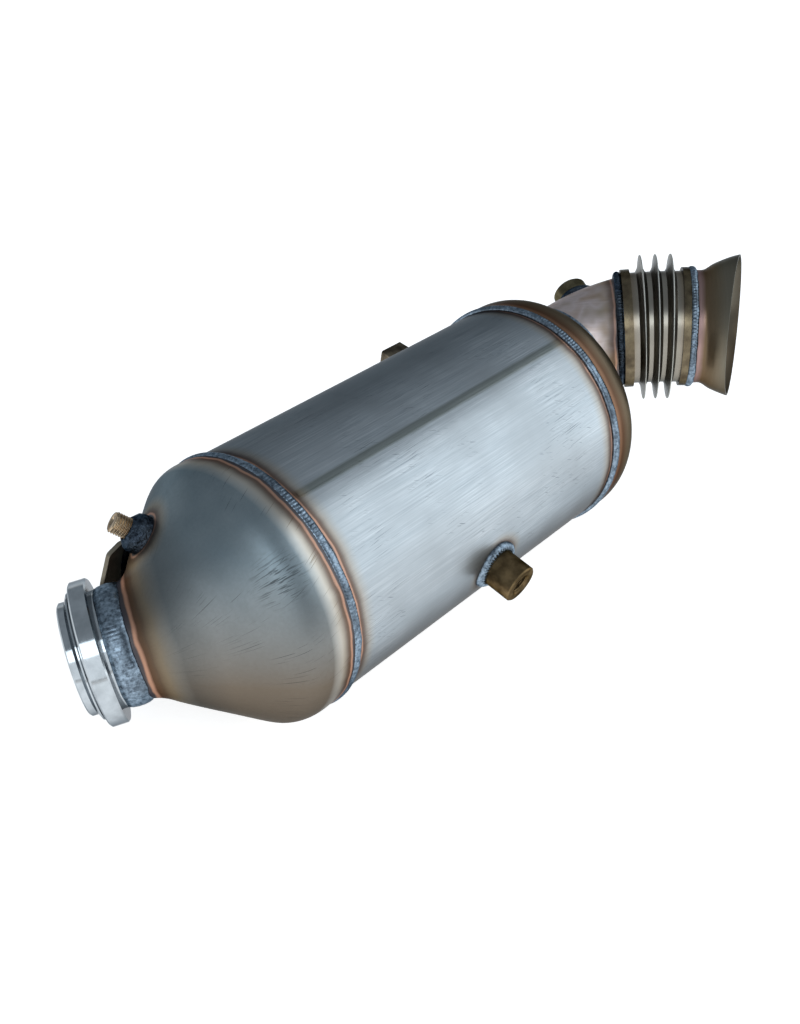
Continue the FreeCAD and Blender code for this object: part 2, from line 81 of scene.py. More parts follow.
# %% Directions from angles
def heading(turn, pitch):
    """A direction from a compass turn and a rise, both in degrees."""
    flat = math.cos(math.radians(pitch))
    return Vector((flat * math.cos(math.radians(turn)), flat * math.sin(math.radians(turn)),
                   math.sin(math.radians(pitch))))


def turned_about(vector, axis, degrees):
    return Matrix.Rotation(math.radians(degrees), 3, axis) @ vector


def level_pair(axis):
    """Two directions square to an axis and to each other; the first one is level."""
    side = axis.cross(UP).normalized()
    return side, axis.cross(side)


def spoke(pair, turn):
    return pair[0] * math.cos(turn) + pair[1] * math.sin(turn)


print("the sensor boss points along", [round(v, 3) for v in BOSS_AXIS])

# %% [markdown]
# The bellows has straight cuffs and bends a little between them. Its centre line is written as
# a function of the distance along it, so that folds, beads and tints can all ask where they
# are. A drawn curve would do as well, but the function gives the direction for free.

# %% The bellows' centre line
BELLOWS_START = Vector((417.944, -49.365, 60.606))
BELLOWS_OUT = heading(-53.15, 11.62)
BELLOWS_LENGTH = 43.5
BELLOWS_RADIUS = 37.8
CREST_COUNT = 3
CREST_RADIUS = 49.3
CREST_SPACING = 9.2
FIRST_CREST = 13.2
BEND = 4.0
BEND_ROLL = -216.7
BEND_START = FIRST_CREST - CREST_SPACING / 2
BEND_SPAN = CREST_COUNT * CREST_SPACING
BEND_HINGE = turned_about(level_pair(BELLOWS_OUT)[0], BELLOWS_OUT, BEND_ROLL)


def bellows_at(along):
    """The place and the direction at a distance along the bellows, in mm."""
    share = min(max((along - BEND_START) / BEND_SPAN, 0.0), 1.0)
    out = turned_about(BELLOWS_OUT, BEND_HINGE, BEND * share)
    chord = turned_about(BELLOWS_OUT, BEND_HINGE, BEND * share / 2)
    lead = min(along, BEND_START)
    tail = max(along - BEND_START - BEND_SPAN, 0.0)
    place = BELLOWS_START + BELLOWS_OUT * lead + chord * (BEND_SPAN * share) + out * tail
    return place, out


BELLOWS_END, BELLOWS_LAST = bellows_at(BELLOWS_LENGTH)
print("bellows ends at", [round(v, 1) for v in BELLOWS_END])

# %% [markdown]
# ## Materials from nodes
# Real stainless steel is never one colour: it is brushed, scratched, and tinted straw, brown
# and blue by the welder's heat. All of that is worked out from the place on the object, so no
# picture is needed. The small class below only saves typing: most calls add one node.
#
# Oxidised steel mirrors less at a glancing angle than clean steel does. The specular tint of
# a metal says how much, and it gives every metal here its dark rim against the white ground.

# %% A short way to write node materials
EDGE_TINT = (0.32, 0.34, 0.36, 1.0)


def rgb(red, green, blue):
    """A screen colour from 0 to 255 as the linear colour that nodes use."""
    def linear(value):
        share = value / 255
        return share / 12.92 if share <= 0.04045 else ((share + 0.055) / 1.055) ** 2.4
    return (linear(red), linear(green), linear(blue), 1.0)


class Finish:
    """One material and the calls that add nodes to it."""

    def __init__(self, name, metallic, roughness):
        self.material = bpy.data.materials.new(name)
        self.material.use_nodes = True
        self.tree = self.material.node_tree
        self.shader = self.tree.nodes["Principled BSDF"]
        self.shader.inputs["Metallic"].default_value = metallic
        self.shader.inputs["Roughness"].default_value = roughness
        if metallic:
            self.shader.inputs["Specular Tint"].default_value = EDGE_TINT
        place = self.tree.nodes.new("ShaderNodeTexCoord").outputs["Object"]
        self.place = self.vector("SCALE", place, scale=1 / MM)

    def feed(self, socket, value):
        """Links a socket to another's output, or sets it to a constant."""
        if isinstance(value, bpy.types.NodeSocket):
            self.tree.links.new(value, socket)
        else:
            socket.default_value = value

    def math(self, operation, a, b=0.0, clamp=False):
        node = self.tree.nodes.new("ShaderNodeMath")
        node.operation = operation
        node.use_clamp = clamp
        self.feed(node.inputs[0], a)
        self.feed(node.inputs[1], b)
        return node.outputs[0]

    def scaled(self, value, size, offset=0.0):
        return self.math("ADD", offset, self.math("MULTIPLY", value, size))

    def off(self, value, middle=0.0):
        """How far a value is from a middle, either way."""
        return self.math("ABSOLUTE", self.math("SUBTRACT", value, middle))

    def vector(self, operation, a, b=None, scale=None):
        node = self.tree.nodes.new("ShaderNodeVectorMath")
        node.operation = operation
        self.feed(node.inputs[0], a)
        if b is not None:
            self.feed(node.inputs[1], b)
        if scale is not None:
            node.inputs["Scale"].default_value = scale
        return node.outputs["Value" if operation in ("DOT_PRODUCT", "LENGTH") else "Vector"]

    def distance(self, point):
        """The distance from a point, in mm."""
        return self.vector("LENGTH", self.vector("SUBTRACT", self.place, tuple(point)))

    def combine(self, x, y, z=0.0):
        node = self.tree.nodes.new("ShaderNodeCombineXYZ")
        for socket, value in zip(node.inputs, (x, y, z)):
            self.feed(socket, value)
        return node.outputs[0]

    def noise(self, vector, scale, detail=3.0, rough=0.55, distortion=0.0):
        node = self.tree.nodes.new("ShaderNodeTexNoise")
        self.feed(node.inputs["Vector"], vector)
        node.inputs["Scale"].default_value = scale
        node.inputs["Detail"].default_value = detail
        node.inputs["Roughness"].default_value = rough
        node.inputs["Distortion"].default_value = distortion
        return node.outputs["Fac"]

    def stretched(self, along, arc, length, width, detail=3.0, rough=0.55):
        """Noise whose grains have a given length and width, in mm."""
        grains = self.combine(self.math("DIVIDE", along, length), self.math("DIVIDE", arc, width))
        return self.noise(grains, 1.0, detail, rough)

    def ramp(self, value, stops):
        """Colours against a value; the stops are (value, colour) with values from 0 to 1."""
        node = self.tree.nodes.new("ShaderNodeValToRGB")
        self.feed(node.inputs[0], value)
        points = node.color_ramp.elements
        points[0].position, points[0].color = stops[0]
        points[1].position, points[1].color = stops[-1]
        for position, colour in stops[1:-1]:
            points.new(position).color = colour
        return node.outputs[0]

    def step(self, value, low, high):
        """0 below low, 1 above high, and even between; low may be the larger."""
        node = self.tree.nodes.new("ShaderNodeMapRange")
        self.feed(node.inputs["Value"], value)
        node.inputs["From Min"].default_value = low
        node.inputs["From Max"].default_value = high
        return node.outputs[0]

    def below(self, top, bottom):
        """0 above the top height, 1 under the bottom one, both in mm."""
        return self.step(self.vector("DOT_PRODUCT", self.place, tuple(UP)), top, bottom)

    def mix(self, share, a, b):
        node = self.tree.nodes.new("ShaderNodeMix")
        node.data_type = "RGBA"
        self.feed(node.inputs[0], share)
        self.feed(node.inputs[6], a)
        self.feed(node.inputs[7], b)
        return node.outputs[2]

    def over(self, plain, share, strength, colour):
        """The plain colour with another laid over it, as far as the share and strength say."""
        return self.mix(self.math("MULTIPLY", share, strength), plain, colour)

    def finish(self, colour, rough=None, height=None, depth=0.1, distance=1.0):
        """Joins the colour, roughness and bump; the bump's distance is in millimetres."""
        self.feed(self.shader.inputs["Base Color"], colour)
        if rough is not None:
            self.feed(self.shader.inputs["Roughness"], rough)
        if height is not None:
            bump = self.tree.nodes.new("ShaderNodeBump")
            bump.inputs["Strength"].default_value = depth
            bump.inputs["Distance"].default_value = distance * MM
            self.feed(bump.inputs["Height"], height)
            self.tree.links.new(bump.outputs[0], self.shader.inputs["Normal"])
        return self.material


print("material helper ready")

# %% [markdown]
# Places on a round can are easiest to describe as a distance along its axis and an angle
# around it. This helper turns a point into those two numbers inside the material, for any
# axis: the can's own, the neck's or the bellows'.

# %% Along and around an axis
def around(finish, origin, axis, radius, side=None):
    """The distance along an axis, the arc length around it and the radius, in mm."""
    if side is None:
        side = level_pair(axis)[0]
    across = axis.cross(side)
    arm = finish.vector("SUBTRACT", finish.place, tuple(origin))
    along = finish.vector("DOT_PRODUCT", arm, tuple(axis))
    u = finish.vector("DOT_PRODUCT", arm, tuple(side))
    v = finish.vector("DOT_PRODUCT", arm, tuple(across))
    angle = finish.math("ARCTAN2", v, u)
    reach = finish.math("SQRT", finish.math("ADD", finish.math("MULTIPLY", u, u),
                                            finish.math("MULTIPLY", v, v)))
    return along, finish.math("MULTIPLY", angle, radius), reach


def around_can(finish):
    return around(finish, CAN_FRONT, CAN_AXIS, CAN_RADIUS, CAN_SIDE)


def can_arc(degrees):
    """The arc length at an angle round the can, counted from its side."""
    return math.radians(degrees) * CAN_RADIUS


def wobble(finish, value, amount):
    """The value pushed a little either way, so that a band's edge isn't ruled straight."""
    drift = finish.noise(finish.place, 0.05, 2.0)
    push = finish.math("MULTIPLY", finish.math("SUBTRACT", drift, 0.5), 2 * amount)
    return finish.math("ADD", value, push)


print("the can's seam lies %.0f mm round from its side" % can_arc(SEAM_ANGLE))

# %% [markdown]
# ### Heat tint
# Beside a weld, steel turns copper, brown and straw in bands a few millimetres wide, because
# the oxide film is thinner the farther it is from the arc. A colour ramp over the distance to
# the weld draws those bands. Painting them by hand would look the same, but only from one side.

# %% Heat bands
TINT_REACH = 16.0
COPPER = rgb(184, 140, 116)
BROWN = rgb(96, 70, 52)
STRAW = rgb(160, 138, 106)


def grey(value):
    return (value, value, value, 1)


def heat_bands(finish, distance, plain, strength=1.0, reach=TINT_REACH):
    """The plain colour, tinted by the distance in mm from a weld's middle."""
    share = finish.math("DIVIDE", wobble(finish, distance, 1.8), reach, True)
    tint = finish.ramp(share, [(0.0, rgb(60, 66, 78)), (0.20, rgb(84, 78, 78)), (0.235, COPPER),
                               (0.27, COPPER), (0.32, BROWN), (0.44, rgb(104, 82, 62)),
                               (0.62, STRAW), (1.0, rgb(180, 176, 166))])
    keep = finish.ramp(share, [(0.0, grey(1)), (0.38, grey(0.85)), (0.62, grey(0.4)),
                               (1.0, grey(0))])
    return finish.over(plain, keep, strength, tint)


print("heat bands reach %.0f mm from a weld" % TINT_REACH)

# %% [markdown]
# ### Brushed sheet
# The can is rolled from brushed sheet: fine lines run along it, with a few deeper scratches.
# Noise stretched along the axis gives lines at almost no cost. The lines change the roughness
# and the colour a little, and a faint bump makes them catch the light.

# %% Brush lines and scratches
def brushed(finish, along, arc, length, width):
    return finish.stretched(along, arc, length, width, 4.0, 0.6)


def scratches(finish, along, arc, lean, length, width, rarity):
    """Thin marks: 1 on a scratch and 0 elsewhere."""
    slant = finish.math("ADD", arc, finish.math("MULTIPLY", along, lean))
    mark = finish.stretched(along, slant, length, width, 1.0, 0.4)
    patch = finish.noise(finish.place, 0.022, 2.0)
    return finish.math("MULTIPLY", finish.step(mark, rarity, rarity + 0.035),
                       finish.step(patch, 0.48, 0.56))


print("brush and scratch helpers ready")

# %% [markdown]
# The can's sheet meets at one long seam. The rolled edges don't quite follow the circle there,
# so the sheet peaks slightly and the reflection changes at the seam. A bump whose height falls
# away on both sides gives that peak without changing the shape. Painted shade darkens the
# can's upper back, and more painted shade makes its underside browner and darker.

# %% The can's steel
def can_finish():
    finish = Finish("can brushed stainless", 1.0, 0.34)
    along, arc, _ = around_can(finish)
    lines = brushed(finish, along, arc, 45.0, 0.9)
    streaks = finish.step(brushed(finish, along, arc, 140.0, 3.2), 0.34, 0.66)
    clouds = finish.noise(finish.place, 0.018, 3.0)
    plain = finish.mix(finish.step(lines, 0.3, 0.7), rgb(150, 158, 164), rgb(206, 212, 216))
    plain = finish.over(plain, streaks, 0.45, rgb(166, 176, 182))
    plain = finish.mix(finish.step(clouds, 0.35, 0.75), plain, rgb(160, 166, 170))
    marks = scratches(finish, along, arc, 0.05, 24.0, 0.6, 0.665)
    nicks = scratches(finish, along, arc, -0.45, 8.0, 0.7, 0.685)
    plain = finish.over(plain, finish.math("MAXIMUM", marks, nicks), 0.6, rgb(92, 98, 104))
    off_seam = finish.off(arc, can_arc(SEAM_ANGLE))
    near_seam = finish.step(wobble(finish, off_seam, 0.5), 3.6, 1.9)
    plain = finish.over(plain, near_seam, 0.75, rgb(112, 118, 112))
    plain = heat_bands(finish, finish.off(along), plain)
    plain = heat_bands(finish, finish.off(along, WELD_SPAN), plain)
    off_boss = finish.math("SUBTRACT", finish.distance(BOSS_FOOT), BOSS_RADIUS)
    plain = heat_bands(finish, off_boss, plain, 0.9, 12.0)
    # Painted shade: the can's upper back side is darkened, fading out towards the top and towards
    # its side.
    painted_upper_shade = finish.math("MULTIPLY", finish.step(arc, can_arc(100), can_arc(46)),
                       finish.step(arc, can_arc(-30), can_arc(10)))
    plain = finish.over(plain, painted_upper_shade, 0.9, rgb(52, 60, 66))
    # Painted shade: the can turns browner and darker towards the bottom.
    plain = finish.over(plain, finish.below(12.0, -24.0), 0.85, rgb(112, 104, 96))
    peak = finish.math("MULTIPLY", finish.step(off_seam, 0.0, 18.0), -0.45)
    height = finish.math("ADD", peak, finish.math("MULTIPLY", lines, 0.03))
    return finish.finish(plain, finish.scaled(lines, 0.16, 0.28), height, 1.0)


CAN_STEEL = can_finish()
print("can finish made:", CAN_STEEL.name)

# %% [markdown]
# ### Pressed and satin steel
# The cone is pressed, so it has a satin skin with cloudy patches and no brush lines. It gets
# a painted reflection that browns it underneath, painted shade near the neck and a painted
# highlight along its shoulder, and it has one scuffed spot. It browns towards the two welds and
# the tap.

# %% The cone's steel
SCUFF_SPOT = Vector((65.0, -75.0, 62.0))


def cone_finish():
    finish = Finish("cone satin stainless", 1.0, 0.4)
    along, arc, _ = around_can(finish)
    neck_along, _, _ = around(finish, NECK_START, NECK_AXIS, 32.0)
    clouds = finish.noise(finish.place, 0.02, 3.0)
    fine = finish.noise(finish.place, 0.5, 4.0, 0.6)
    plain = finish.mix(finish.step(clouds, 0.3, 0.7), rgb(122, 136, 143), rgb(150, 161, 166))
    plain = finish.over(plain, fine, 0.3, rgb(92, 98, 100))
    # Painted reflection: the cone is browner and darker underneath.
    plain = finish.over(plain, finish.below(70.0, 4.0), 0.9, rgb(116, 102, 86))
    # Painted highlight: a pale band along the shoulder beside the front weld, broken up by the
    # clouds; the same mask makes it glossier.
    shoulder = finish.step(finish.off(along, -10.0), 8.0, 2.0)
    painted_sheen = finish.math("MULTIPLY", shoulder, finish.step(clouds, 0.25, 0.55))
    plain = finish.over(plain, painted_sheen, 0.7, rgb(214, 214, 210))
    # Painted shade: the cone is darkened towards the neck, where it mirrors the dim surroundings.
    plain = finish.over(plain, finish.step(neck_along, 66.0, 30.0), 0.72, rgb(52, 60, 63))
    rubbed = finish.step(finish.stretched(along, arc, 9.0, 1.0, 2.0), 0.52, 0.6)
    scuffs = finish.math("MULTIPLY", finish.step(finish.distance(SCUFF_SPOT), 17.0, 7.0), rubbed)
    marks = scratches(finish, along, arc, 0.4, 22.0, 0.7, 0.68)
    plain = finish.over(plain, finish.math("MAXIMUM", scuffs, marks), 0.7, rgb(48, 50, 52))
    plain = heat_bands(finish, finish.off(along), plain, 1.0, 18.0)
    plain = heat_bands(finish, finish.off(neck_along, 21.0), plain, 1.0, 26.0)
    off_tap = finish.math("SUBTRACT", finish.distance(TAP_FOOT), 9.0)
    plain = heat_bands(finish, off_tap, plain, 0.7, 16.0)
    rough = finish.math("SUBTRACT", finish.scaled(fine, 0.14, 0.38),
                        finish.math("MULTIPLY", painted_sheen, 0.14))
    return finish.finish(plain, rough, fine, 0.25, 0.05)


CONE_STEEL = cone_finish()
print("cone finish made:", CONE_STEEL.name)

# %% [markdown]
# The outlet end got more heat than the rest, so it is brown all over. The dome's tint changes
# in rings with the distance from its weld, and a slow noise keeps the rings from looking drawn.

# %% The dome's steel
def dome_finish():
    finish = Finish("dome heat-tinted stainless", 1.0, 0.38)
    along, arc, _ = around_can(finish)
    past = finish.math("SUBTRACT", along, WELD_SPAN)
    clouds = finish.noise(finish.place, 0.04, 3.0)
    fine = finish.stretched(past, arc, 2.0, 14.0)
    plain = finish.mix(clouds, rgb(98, 88, 74), rgb(122, 112, 94))
    plain = finish.over(plain, fine, 0.25, rgb(104, 92, 78))
    share = finish.math("DIVIDE", wobble(finish, past, 0.9), 30.0, True)
    bands = finish.ramp(share, [(0.0, rgb(96, 66, 48)), (0.13, rgb(140, 104, 82)),
                                (0.22, rgb(92, 62, 46)), (0.40, rgb(106, 92, 76)),
                                (0.7, rgb(110, 102, 86)), (1.0, rgb(92, 82, 68))])
    plain = finish.mix(0.75, plain, bands)
    return finish.finish(plain, finish.scaled(fine, 0.15, 0.32), fine, 0.25, 0.05)


DOME_STEEL = dome_finish()
print("dome finish made:", DOME_STEEL.name)

# %% [markdown]
# The elbow is olive with pale pink patches, where the film happens to be thin. A slow noise
# chooses between the colours, and drawn lines run along the tube.

# %% The elbow's steel
def elbow_finish():
    finish = Finish("elbow heat-tinted stainless", 1.0, 0.3)
    along, arc, _ = around(finish, BELLOWS_START, BELLOWS_OUT, 35.0)
    lines = finish.stretched(along, arc, 20.0, 1.4)
    patches = finish.noise(finish.place, 0.045, 2.0)
    plain = finish.ramp(patches, [(0.3, rgb(150, 134, 104)), (0.45, rgb(198, 178, 164)),
                                  (0.55, rgb(222, 208, 206)), (0.75, rgb(164, 148, 116))])
    plain = finish.over(plain, lines, 0.35, rgb(112, 92, 84))
    plain = heat_bands(finish, finish.off(along, -2.4), plain, 0.85, 16.0)
    return finish.finish(plain, finish.scaled(lines, 0.16, 0.3), lines, 0.3, 0.05)


ELBOW_STEEL = elbow_finish()
print("elbow finish made:", ELBOW_STEEL.name)

# %% [markdown]
# The flare goes from pink beside its weld to brown, grey-brown and a dark rim. It was pressed
# on a turning tool, so its fine lines run around it and not along it.

# %% The flare's steel
def flare_finish():
    finish = Finish("flare heat-tinted stainless", 1.0, 0.36)
    along, arc, _ = around(finish, BELLOWS_END, BELLOWS_LAST, 42.0)
    lines = finish.stretched(along, arc, 1.4, 22.0)
    share = finish.math("DIVIDE", wobble(finish, along, 1.0), 40.0, True)
    plain = finish.ramp(share, [(0.0, rgb(150, 120, 112)), (0.16, rgb(168, 138, 134)),
                                (0.24, rgb(116, 96, 74)), (0.38, rgb(120, 106, 86)),
                                (0.55, rgb(124, 118, 104)), (0.8, rgb(114, 110, 98)),
                                (1.0, rgb(82, 76, 66))])
    plain = finish.over(plain, lines, 0.3, rgb(70, 64, 56))
    # Painted shade: the flare turns darker and browner towards the bottom.
    plain = finish.over(plain, finish.below(70.0, 35.0), 0.5, rgb(104, 84, 62))
    return finish.finish(plain, finish.scaled(lines, 0.14, 0.28), lines, 0.3, 0.06)


FLARE_STEEL = flare_finish()
print("flare finish made:", FLARE_STEEL.name)

# %% [markdown]
# ### Machined and turned parts
# The clamp flange is turned on a lathe and left bright by the cutting: nearly a mirror, with
# fine rings, and its bore painted near black as painted shade. The bosses are turned from bar
# and were tinted olive and gold by the heat. The block, the bracket and the collars share the
# recipe with other colours.

# %% Turned finishes
def turned_finish(name, origin, axis, dark, light, rough, bore=0.0):
    finish = Finish(name, 1.0, rough)
    along, arc, reach = around(finish, origin, axis, 20.0)
    rings = finish.noise(finish.combine(finish.math("DIVIDE", along, 0.35),
                                        finish.math("DIVIDE", reach, 0.35),
                                        finish.math("DIVIDE", arc, 60.0)), 1.0, 2.0)
    patches = finish.noise(finish.place, 0.12, 3.0)
    plain = finish.mix(finish.step(patches, 0.35, 0.65), dark, light)
    plain = finish.over(plain, rings, 0.25, dark)
    # Painted shade: inside the bore's radius the colour turns near black.
    if bore:
        plain = finish.mix(finish.step(reach, bore + 0.6, bore + 0.2), plain, rgb(24, 28, 32))
    return finish.finish(plain, finish.scaled(rings, 0.09, rough - 0.03), rings, 0.25, 0.02)


FLANGE_STEEL = turned_finish("flange turned stainless", NECK_START, NECK_AXIS,
                             rgb(168, 174, 178), rgb(190, 196, 200), 0.1, NECK_BORE)
BOSS_STEEL = turned_finish("boss turned steel", BOSS_FOOT, BOSS_AXIS,
                           rgb(78, 64, 44), rgb(128, 108, 78), 0.34)
BLOCK_STEEL = turned_finish("block machined steel", CAN_FRONT, CAN_AXIS,
                            rgb(70, 64, 56), rgb(124, 114, 98), 0.4)
BRACKET_STEEL = turned_finish("bracket sheet", CAN_FRONT, CAN_AXIS,
                              rgb(132, 124, 110), rgb(156, 148, 132), 0.5)
TAP_STEEL = turned_finish("tap turned steel", TAP_FOOT, TAP_AXIS,
                          rgb(130, 108, 84), rgb(204, 184, 156), 0.25)
ELBOW_BOSS_STEEL = turned_finish("elbow boss turned steel", BELLOWS_START, BELLOWS_OUT,
                                 rgb(84, 78, 60), rgb(124, 116, 92), 0.34)
COLLAR_STEEL = turned_finish("collar heat-tinted steel", BELLOWS_START, BELLOWS_OUT,
                             rgb(84, 74, 60), rgb(124, 112, 90), 0.26)
print("turned finishes made")

# %% [markdown]
# ### Bellows sheet
# The bellows is thin bright sheet, pressed out into three tall folds. Its tips carry a
# painted highlight, its valleys painted shade, and it is golden beside its cuffs, where the
# collars were welded.

# %% The bellows' steel
def bellows_finish():
    finish = Finish("bellows bright stainless", 1.0, 0.16)
    middle, out = bellows_at(FIRST_CREST + CREST_SPACING)
    along, arc, reach = around(finish, middle, out, CREST_RADIUS)
    streaks = finish.stretched(reach, arc, 0.6, 30.0)
    plain = finish.mix(streaks, rgb(152, 148, 140), rgb(186, 182, 172))
    # Painted highlight: the fold tips are lighter; the same mask makes them a little rougher.
    tip = finish.step(reach, CREST_RADIUS - 3.0, CREST_RADIUS - 0.8)
    plain = finish.mix(tip, plain, rgb(196, 196, 190))
    far = finish.math("DIVIDE", finish.off(along), 22.0, True)
    gold = finish.ramp(far, [(0.0, grey(0)), (0.6, grey(0.12)), (1.0, grey(1))])
    plain = finish.mix(gold, plain, rgb(138, 112, 78))
    # Painted shade: the valleys between the folds are darkened.
    painted_valley_shade = finish.step(reach, BELLOWS_RADIUS + 4.0, BELLOWS_RADIUS)
    plain = finish.over(plain, painted_valley_shade, 0.35, rgb(96, 86, 72))
    rough = finish.math("ADD", finish.scaled(streaks, 0.12, 0.22),
                        finish.math("MULTIPLY", tip, 0.08))
    return finish.finish(plain, rough, streaks, 0.2, 0.03)


BELLOWS_STEEL = bellows_finish()
print("bellows finish made:", BELLOWS_STEEL.name)

# %% [markdown]
# ### Weld metal
# A weld bead is a row of frozen puddles. It is slate blue from the oxide on it, glossy in
# some spots and dull in others. The colour is by noise; the ripples themselves are modelled
# further down, because they show against the light. The dark beads stay as plain CAD solids
# in most places, so they get a coarser bump.

# %% Weld metal
def weld_finish(name, dark, light, lumps, depth, distance):
    finish = Finish(name, 1.0, 0.3)
    spots = finish.noise(finish.place, 0.45, 4.0, 0.65)
    slow = finish.noise(finish.place, 0.05, 2.0)
    plain = finish.mix(finish.step(spots, 0.36, 0.66), dark, light)
    plain = finish.mix(finish.step(slow, 0.45, 0.75), plain, rgb(76, 84, 92))
    height = finish.noise(finish.place, lumps, 3.0, 0.6)
    return finish.finish(plain, finish.scaled(spots, 0.25, 0.2), height, depth, distance)


WELD_METAL = weld_finish("weld bead slate blue", rgb(84, 95, 106), rgb(158, 176, 192),
                         lumps=2.0, depth=0.5, distance=0.1)
DARK_WELD = weld_finish("weld bead dark blue", rgb(26, 32, 40), rgb(78, 90, 104),
                        lumps=0.7, depth=1.0, distance=0.9)
print("weld finishes made:", WELD_METAL.name, DARK_WELD.name)

# %% [markdown]
# ### Ceramic and mat
# Inside the can sit two honeycomb bricks in a fibre mat. They can only be glimpsed through the
# ends. The channels are drawn by repeating the place across the brick: near-black squares of
# painted shade, with thin pale walls between them. Cutting some ten thousand real channels would
# gain nothing.

# %% Honeycomb and fibre
def honeycomb_finish(name, pitch, wall, tint):
    finish = Finish(name, 0.0, 0.85)
    cells = []
    for direction in (CAN_SIDE, UP):
        across = finish.vector("DOT_PRODUCT", finish.place, tuple(direction))
        edge = finish.off(finish.math("FRACT", finish.math("DIVIDE", across, pitch)), 0.5)
        cells.append(finish.step(edge, 0.5 - wall, 0.5 - wall * 0.6))
    walls = finish.math("MAXIMUM", cells[0], cells[1])
    grain = finish.noise(finish.place, 1.2, 3.0)
    pale = finish.mix(grain, tint, rgb(196, 186, 168))
    # Painted shade: the squares between the walls are near black, as the open channels would be
    # in shadow.
    return finish.finish(finish.mix(walls, rgb(26, 24, 22), pale), None, walls, 1.0, 0.5)


def mat_finish():
    finish = Finish("fibre mat", 0.0, 0.95)
    fibres = finish.noise(finish.place, 0.9, 5.0, 0.7, 1.5)
    return finish.finish(finish.mix(fibres, rgb(180, 172, 156), rgb(228, 222, 210)), None,
                         fibres, 0.8, 0.4)


CATALYST_CERAMIC = honeycomb_finish("catalyst honeycomb", 1.27, 0.14, rgb(150, 132, 108))
FILTER_CERAMIC = honeycomb_finish("filter honeycomb", 1.8, 0.2, rgb(120, 116, 110))
FIBRE_MAT = mat_finish()
print("ceramic finishes made")

# %% [markdown]
# ## Dressing the CAD solids
# Most solids already have the right shape, so they stay and only get a better material. The
# solids that need ripples, threads or rounder folds are replaced by meshes further down.

# %% Give each CAD node its finish
NODE_FINISH = {
    "inlet_flange": FLANGE_STEEL, "inlet_cone": CONE_STEEL, "inlet_bracket": BRACKET_STEEL,
    "can_shell": CAN_STEEL, "can_seam_weld": CAN_STEEL, "can_sensor_boss": BOSS_STEEL,
    "mount_block": BLOCK_STEEL, "outlet_dome": DOME_STEEL, "outlet_elbow": ELBOW_STEEL,
    "elbow_sensor_boss": ELBOW_BOSS_STEEL, "bellows_front_collar": COLLAR_STEEL,
    "bellows_rear_collar": COLLAR_STEEL, "outlet_flare": FLARE_STEEL,
    "catalyst_brick": CATALYST_CERAMIC, "filter_brick": FILTER_CERAMIC,
    "catalyst_mat": FIBRE_MAT, "filter_mat": FIBRE_MAT,
    "pressure_tap": TAP_STEEL, "pressure_tap_weld": DARK_WELD, "inlet_bracket_weld": DARK_WELD,
    "mount_block_weld": DARK_WELD, "elbow_root_weld": WELD_METAL,
    "elbow_sensor_boss_weld": DARK_WELD, "bellows": BELLOWS_STEEL,
    "inlet_flange_weld": WELD_METAL, "front_girth_weld": WELD_METAL,
    "rear_girth_weld": WELD_METAL, "can_sensor_boss_weld": WELD_METAL,
    "bellows_front_weld": DARK_WELD, "bellows_rear_weld": WELD_METAL,
}
for node, material in NODE_FINISH.items():
    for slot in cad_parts[node].material_slots:
        slot.material = material
print("finishes given to", len(NODE_FINISH), "of", len(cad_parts), "nodes")

# %% [markdown]
# ## Meshes that repeat a section
# A bead, a fold or a thread is one outline carried along a path. This helper takes the rows of
# points, joins each row to the next and shades the result smooth. Screw and curve modifiers
# could do most of it, but rows of points can ripple, lean and fade as they go.

# %% Join rows of points into a mesh
def woven(name, rows, material, node, wrap_rows, wrap_points):
    """A mesh from rows of points in mm; it stands for a CAD node if one is named."""
    count = len(rows[0])
    points = [tuple(point * MM) for row in rows for point in row]
    faces = []
    for i in range(len(rows) if wrap_rows else len(rows) - 1):
        here = i * count
        there = (i + 1) % len(rows) * count
        for j in range(count if wrap_points else count - 1):
            beside = (j + 1) % count
            faces.append((here + j, here + beside, there + beside, there + j))
    mesh = bpy.data.meshes.new(name)
    mesh.from_pydata(points, [], faces)
    mesh.validate()
    piece = bpy.data.objects.new(name, mesh)
    bpy.context.collection.objects.link(piece)
    mesh.polygons.foreach_set("use_smooth", [True] * len(mesh.polygons))
    mesh.materials.append(material)
    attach(piece, "root")
    if node:
        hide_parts(node)
    print("%-26s %6d faces" % (name, len(faces)))
    return piece


print("mesh weaver ready")

# %% [markdown]
# ## Weld beads
# The welder's arc leaves a curved ripple every two millimetres or so, and the bead swells and
# narrows a little. Each bead here is an oval outline carried round its joint: the outline's
# height follows a rounded saw wave, and its phase lags at the edges, which curves the ripples.

# %% A rippled bead
def ripple(phase):
    """A rounded saw wave from 0 to 1 and back, skewed to one side."""
    share = phase - math.floor(phase)
    return math.sin(math.pi * share ** 1.6)


def bead(name, node, stations, half_width, height, pitch, material, relief, section=14):
    """An oval rope of weld metal; stations are (place, across, out) all round the joint."""
    count = len(stations)
    length = 0.0
    travelled = []
    for i in range(count):
        travelled.append(length)
        length += (stations[(i + 1) % count][0] - stations[i][0]).length
    turns = round(length / pitch)
    rows = []
    for i, (place, across, out) in enumerate(stations):
        phase = turns * travelled[i] / length
        drift = noise.noise(place * 0.12)
        swell = 1 + 0.10 * drift
        row = []
        for k in range(section):
            turn = 2 * math.pi * k / section
            side = math.cos(turn)
            rise = math.sin(turn)
            lift = 1 - relief + relief * ripple(phase + 0.5 * side * side + 0.6 * drift)
            row.append(place + across * (half_width * swell * side + 0.3 * drift)
                       + out * (height * rise * (lift if rise > 0 else 1.0)))
        rows.append(row)
    return woven(name, rows, material, node, True, True)


def ring_stations(centre, axis, radius, count):
    """Stations round a circle."""
    pair = level_pair(axis)
    spokes = [spoke(pair, 2 * math.pi * i / count) for i in range(count)]
    return [(centre + out * radius, axis, out) for out in spokes]


print("bead helper ready")

